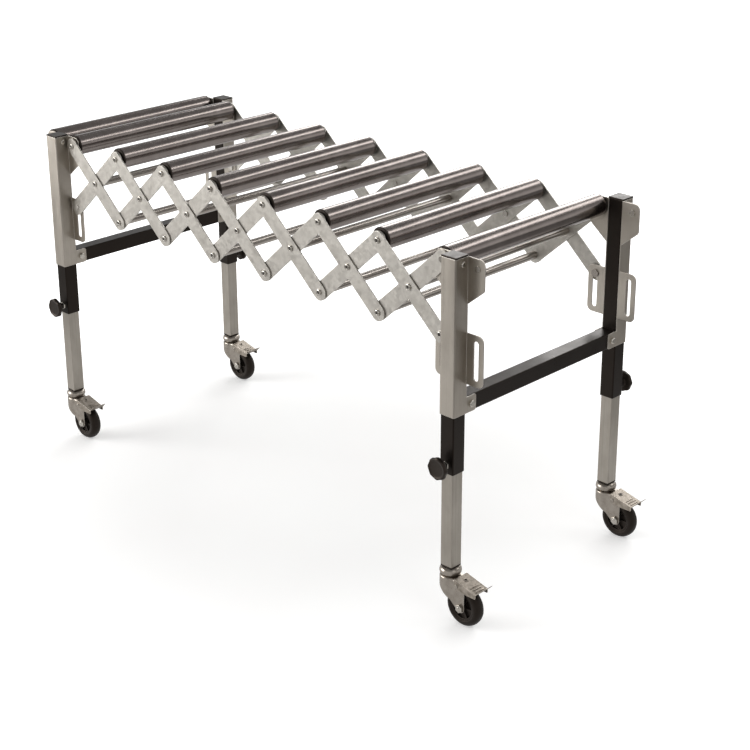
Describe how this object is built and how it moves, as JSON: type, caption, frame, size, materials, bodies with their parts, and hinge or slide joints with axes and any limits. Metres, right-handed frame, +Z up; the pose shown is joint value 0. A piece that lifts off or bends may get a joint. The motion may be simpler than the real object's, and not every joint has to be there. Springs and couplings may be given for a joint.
{
  "type": "roller table",
  "caption": "Extending scissor roller table on braked swivel casters: folding cross-arm sides carry steel rollers between two end frames with clamped telescopic legs",
  "frame": {"origin": "on the floor plane under the middle of the bounding box of the extended table", "axes": "+X along the table towards the end without the extra roller, +Y across to the far side, +Z up"},
  "size_m": [1.2494, 0.5328, 0.6804],
  "materials": {
    "black_tube": "semi-gloss black powder coat",
    "bracket_steel": "satin zinc-plated sheet",
    "arm_steel": "zinc-plated flat bar",
    "fastener_steel": "bright zinc",
    "black_plastic": "moulded black plastic",
    "roller_chrome": "bright plated steel tube with black end plugs",
    "leg_steel": "satin zinc-plated tube",
    "caster_steel": "zinc-plated pressed sheet",
    "wheel_rubber": "black rubber"
  },
  "bodies": {
    "left_frame": {"left_leg_tubes": "black_tube", "left_brackets": "bracket_steel", "left_crossbar": "black_tube", "left_frame_bolts": "fastener_steel", "left_leg_caps": "black_plastic"},
    "right_frame": {"right_leg_tubes": "black_tube", "right_brackets": "bracket_steel", "right_crossbar": "black_tube", "right_frame_bolts": "fastener_steel", "right_leg_caps": "black_plastic"},
    "outer_arm_1": {"outer_arms_1": "arm_steel", "arm_pins_1": "fastener_steel"},
    "inner_arm_1": {"inner_arms_1": "arm_steel"},
    "outer_arm_2": {"outer_arms_2": "arm_steel", "arm_pins_2": "fastener_steel"},
    "inner_arm_2": {"inner_arms_2": "arm_steel"},
    "outer_arm_3": {"outer_arms_3": "arm_steel", "arm_pins_3": "fastener_steel"},
    "inner_arm_3": {"inner_arms_3": "arm_steel"},
    "outer_arm_4": {"outer_arms_4": "arm_steel", "arm_pins_4": "fastener_steel"},
    "inner_arm_4": {"inner_arms_4": "arm_steel"},
    "outer_arm_5": {"outer_arms_5": "arm_steel", "arm_pins_5": "fastener_steel"},
    "inner_arm_5": {"inner_arms_5": "arm_steel"},
    "outer_arm_6": {"outer_arms_6": "arm_steel", "arm_pins_6": "fastener_steel"},
    "inner_arm_6": {"inner_arms_6": "arm_steel"},
    "outer_arm_7": {"outer_arms_7": "arm_steel", "arm_pins_7": "fastener_steel"},
    "inner_arm_7": {"inner_arms_7": "arm_steel"},
    "roller_1": {"roller_1": "roller_chrome"},
    "roller_2": {"roller_2": "roller_chrome"},
    "roller_3": {"roller_3": "roller_chrome"},
    "roller_4": {"roller_4": "roller_chrome"},
    "roller_5": {"roller_5": "roller_chrome"},
    "roller_6": {"roller_6": "roller_chrome"},
    "roller_7": {"roller_7": "roller_chrome"},
    "roller_8": {"roller_8": "roller_chrome"},
    "roller_9": {"roller_9": "roller_chrome"},
    "near_left_leg": {"near_left_leg": "leg_steel"},
    "near_left_clamp_knob": {"near_left_clamp_knob": "black_plastic"},
    "near_left_caster_fork": {"near_left_caster_fork": "caster_steel"},
    "near_left_caster_wheel": {"near_left_caster_wheel": "wheel_rubber"},
    "near_left_brake_pedal": {"near_left_brake_pedal": "caster_steel"},
    "near_right_leg": {"near_right_leg": "leg_steel"},
    "near_right_clamp_knob": {"near_right_clamp_knob": "black_plastic"},
    "near_right_caster_fork": {"near_right_caster_fork": "caster_steel"},
    "near_right_caster_wheel": {"near_right_caster_wheel": "wheel_rubber"},
    "near_right_brake_pedal": {"near_right_brake_pedal": "caster_steel"},
    "far_left_leg": {"far_left_leg": "leg_steel"},
    "far_left_clamp_knob": {"far_left_clamp_knob": "black_plastic"},
    "far_left_caster_fork": {"far_left_caster_fork": "caster_steel"},
    "far_left_caster_wheel": {"far_left_caster_wheel": "wheel_rubber"},
    "far_left_brake_pedal": {"far_left_brake_pedal": "caster_steel"},
    "far_right_leg": {"far_right_leg": "leg_steel"},
    "far_right_clamp_knob": {"far_right_clamp_knob": "black_plastic"},
    "far_right_caster_fork": {"far_right_caster_fork": "caster_steel"},
    "far_right_caster_wheel": {"far_right_caster_wheel": "wheel_rubber"},
    "far_right_brake_pedal": {"far_right_brake_pedal": "caster_steel"}
  },
  "joints": [
    {"name": "fold", "type": "hinge", "parent": "left_frame", "child": "outer_arm_1", "pos_m": [-0.52771, 0, 0.6594], "axis": [0, 1, 0], "range_deg": [0, 34]},
    {"name": "centre_pivot_1", "type": "hinge", "parent": "outer_arm_1", "child": "inner_arm_1", "pos_m": [-0.45397, 0, 0.5929], "axis": [0, 1, 0], "range_deg": [-68.5, 0.5]},
    {"name": "upper_pivot_1", "type": "hinge", "parent": "inner_arm_1", "child": "outer_arm_2", "pos_m": [-0.38022, 0, 0.6594], "axis": [0, 1, 0], "range_deg": [-0.5, 68.5]},
    {"name": "centre_pivot_2", "type": "hinge", "parent": "outer_arm_2", "child": "inner_arm_2", "pos_m": [-0.30648, 0, 0.5929], "axis": [0, 1, 0], "range_deg": [-68.5, 0.5]},
    {"name": "upper_pivot_2", "type": "hinge", "parent": "inner_arm_2", "child": "outer_arm_3", "pos_m": [-0.23273, 0, 0.6594], "axis": [0, 1, 0], "range_deg": [-0.5, 68.5]},
    {"name": "centre_pivot_3", "type": "hinge", "parent": "outer_arm_3", "child": "inner_arm_3", "pos_m": [-0.15899, 0, 0.5929], "axis": [0, 1, 0], "range_deg": [-68.5, 0.5]},
    {"name": "upper_pivot_3", "type": "hinge", "parent": "inner_arm_3", "child": "outer_arm_4", "pos_m": [-0.08524, 0, 0.6594], "axis": [0, 1, 0], "range_deg": [-0.5, 68.5]},
    {"name": "centre_pivot_4", "type": "hinge", "parent": "outer_arm_4", "child": "inner_arm_4", "pos_m": [-0.0115, 0, 0.5929], "axis": [0, 1, 0], "range_deg": [-68.5, 0.5]},
    {"name": "upper_pivot_4", "type": "hinge", "parent": "inner_arm_4", "child": "outer_arm_5", "pos_m": [0.06224, 0, 0.6594], "axis": [0, 1, 0], "range_deg": [-0.5, 68.5]},
    {"name": "centre_pivot_5", "type": "hinge", "parent": "outer_arm_5", "child": "inner_arm_5", "pos_m": [0.13599, 0, 0.5929], "axis": [0, 1, 0], "range_deg": [-68.5, 0.5]},
    {"name": "upper_pivot_5", "type": "hinge", "parent": "inner_arm_5", "child": "outer_arm_6", "pos_m": [0.20973, 0, 0.6594], "axis": [0, 1, 0], "range_deg": [-0.5, 68.5]},
    {"name": "centre_pivot_6", "type": "hinge", "parent": "outer_arm_6", "child": "inner_arm_6", "pos_m": [0.28348, 0, 0.5929], "axis": [0, 1, 0], "range_deg": [-68.5, 0.5]},
    {"name": "upper_pivot_6", "type": "hinge", "parent": "inner_arm_6", "child": "outer_arm_7", "pos_m": [0.35722, 0, 0.6594], "axis": [0, 1, 0], "range_deg": [-0.5, 68.5]},
    {"name": "centre_pivot_7", "type": "hinge", "parent": "outer_arm_7", "child": "inner_arm_7", "pos_m": [0.43097, 0, 0.5929], "axis": [0, 1, 0], "range_deg": [-68.5, 0.5]},
    {"name": "right_frame_pivot", "type": "hinge", "parent": "inner_arm_7", "child": "right_frame", "pos_m": [0.50471, 0, 0.6594], "axis": [0, 1, 0], "range_deg": [-0.5, 34.5]},
    {"name": "near_left_leg_slide", "type": "slide", "parent": "left_frame", "child": "near_left_leg", "axis": [0, 0, 1], "range_m": [-0.09, 0.165]},
    {"name": "far_left_leg_slide", "type": "slide", "parent": "left_frame", "child": "far_left_leg", "axis": [0, 0, 1], "range_m": [-0.09, 0.165]},
    {"name": "near_right_leg_slide", "type": "slide", "parent": "right_frame", "child": "near_right_leg", "axis": [0, 0, 1], "range_m": [-0.09, 0.165]},
    {"name": "far_right_leg_slide", "type": "slide", "parent": "right_frame", "child": "far_right_leg", "axis": [0, 0, 1], "range_m": [-0.09, 0.165]},
    {"name": "near_left_caster_swivel", "type": "hinge", "parent": "near_left_leg", "child": "near_left_caster_fork", "pos_m": [-0.56571, -0.225, 0.095], "axis": [0, 0, 1], "continuous": true},
    {"name": "near_left_wheel_spin", "type": "hinge", "parent": "near_left_caster_fork", "child": "near_left_caster_wheel", "pos_m": [-0.52971, -0.225, 0.0375], "axis": [0, 1, 0], "continuous": true},
    {"name": "near_left_brake", "type": "hinge", "parent": "near_left_caster_fork", "child": "near_left_brake_pedal", "pos_m": [-0.53771, -0.225, 0.0785], "axis": [0, 1, 0], "range_deg": [0, 18]},
    {"name": "near_left_clamp", "type": "hinge", "parent": "left_frame", "child": "near_left_clamp_knob", "pos_m": [-0.56571, -0.225, 0.304], "axis": [0, 1, 0], "range_deg": [0, 360]},
    {"name": "far_left_caster_swivel", "type": "hinge", "parent": "far_left_leg", "child": "far_left_caster_fork", "pos_m": [-0.56571, 0.225, 0.095], "axis": [0, 0, 1], "continuous": true},
    {"name": "far_left_wheel_spin", "type": "hinge", "parent": "far_left_caster_fork", "child": "far_left_caster_wheel", "pos_m": [-0.52971, 0.225, 0.0375], "axis": [0, 1, 0], "continuous": true},
    {"name": "far_left_brake", "type": "hinge", "parent": "far_left_caster_fork", "child": "far_left_brake_pedal", "pos_m": [-0.53771, 0.225, 0.0785], "axis": [0, 1, 0], "range_deg": [0, 18]},
    {"name": "far_left_clamp", "type": "hinge", "parent": "left_frame", "child": "far_left_clamp_knob", "pos_m": [-0.56571, 0.225, 0.304], "axis": [0, 1, 0], "range_deg": [0, 360]},
    {"name": "near_right_caster_swivel", "type": "hinge", "parent": "near_right_leg", "child": "near_right_caster_fork", "pos_m": [0.54271, -0.225, 0.095], "axis": [0, 0, 1], "continuous": true},
    {"name": "near_right_wheel_spin", "type": "hinge", "parent": "near_right_caster_fork", "child": "near_right_caster_wheel", "pos_m": [0.57871, -0.225, 0.0375], "axis": [0, 1, 0], "continuous": true},
    {"name": "near_right_brake", "type": "hinge", "parent": "near_right_caster_fork", "child": "near_right_brake_pedal", "pos_m": [0.57071, -0.225, 0.0785], "axis": [0, 1, 0], "range_deg": [0, 18]},
    {"name": "near_right_clamp", "type": "hinge", "parent": "right_frame", "child": "near_right_clamp_knob", "pos_m": [0.54271, -0.225, 0.304], "axis": [0, 1, 0], "range_deg": [0, 360]},
    {"name": "far_right_caster_swivel", "type": "hinge", "parent": "far_right_leg", "child": "far_right_caster_fork", "pos_m": [0.54271, 0.225, 0.095], "axis": [0, 0, 1], "continuous": true},
    {"name": "far_right_wheel_spin", "type": "hinge", "parent": "far_right_caster_fork", "child": "far_right_caster_wheel", "pos_m": [0.57871, 0.225, 0.0375], "axis": [0, 1, 0], "continuous": true},
    {"name": "far_right_brake", "type": "hinge", "parent": "far_right_caster_fork", "child": "far_right_brake_pedal", "pos_m": [0.57071, 0.225, 0.0785], "axis": [0, 1, 0], "range_deg": [0, 18]},
    {"name": "far_right_clamp", "type": "hinge", "parent": "right_frame", "child": "far_right_clamp_knob", "pos_m": [0.54271, 0.225, 0.304], "axis": [0, 1, 0], "range_deg": [0, 360]},
    {"name": "roller_1_spin", "type": "hinge", "parent": "left_frame", "child": "roller_1", "pos_m": [-0.60371, 0, 0.6594], "axis": [0, 1, 0], "continuous": true},
    {"name": "roller_2_spin", "type": "hinge", "parent": "outer_arm_1", "child": "roller_2", "pos_m": [-0.52771, 0, 0.6594], "axis": [0, 1, 0], "continuous": true},
    {"name": "roller_3_spin", "type": "hinge", "parent": "outer_arm_2", "child": "roller_3", "pos_m": [-0.38022, 0, 0.6594], "axis": [0, 1, 0], "continuous": true},
    {"name": "roller_4_spin", "type": "hinge", "parent": "outer_arm_3", "child": "roller_4", "pos_m": [-0.23273, 0, 0.6594], "axis": [0, 1, 0], "continuous": true},
    {"name": "roller_5_spin", "type": "hinge", "parent": "outer_arm_4", "child": "roller_5", "pos_m": [-0.08524, 0, 0.6594], "axis": [0, 1, 0], "continuous": true},
    {"name": "roller_6_spin", "type": "hinge", "parent": "outer_arm_5", "child": "roller_6", "pos_m": [0.06224, 0, 0.6594], "axis": [0, 1, 0], "continuous": true},
    {"name": "roller_7_spin", "type": "hinge", "parent": "outer_arm_6", "child": "roller_7", "pos_m": [0.20973, 0, 0.6594], "axis": [0, 1, 0], "continuous": true},
    {"name": "roller_8_spin", "type": "hinge", "parent": "outer_arm_7", "child": "roller_8", "pos_m": [0.35722, 0, 0.6594], "axis": [0, 1, 0], "continuous": true},
    {"name": "roller_9_spin", "type": "hinge", "parent": "right_frame", "child": "roller_9", "pos_m": [0.50471, 0, 0.6594], "axis": [0, 1, 0], "continuous": true}
  ],
  "couplings": [
    {"joint": "centre_pivot_1", "follows": "fold", "ratio": -2},
    {"joint": "upper_pivot_1", "follows": "fold", "ratio": 2},
    {"joint": "centre_pivot_2", "follows": "fold", "ratio": -2},
    {"joint": "upper_pivot_2", "follows": "fold", "ratio": 2},
    {"joint": "centre_pivot_3", "follows": "fold", "ratio": -2},
    {"joint": "upper_pivot_3", "follows": "fold", "ratio": 2},
    {"joint": "centre_pivot_4", "follows": "fold", "ratio": -2},
    {"joint": "upper_pivot_4", "follows": "fold", "ratio": 2},
    {"joint": "centre_pivot_5", "follows": "fold", "ratio": -2},
    {"joint": "upper_pivot_5", "follows": "fold", "ratio": 2},
    {"joint": "centre_pivot_6", "follows": "fold", "ratio": -2},
    {"joint": "upper_pivot_6", "follows": "fold", "ratio": 2},
    {"joint": "centre_pivot_7", "follows": "fold", "ratio": -2},
    {"joint": "right_frame_pivot", "follows": "fold", "ratio": 1}
  ]
}
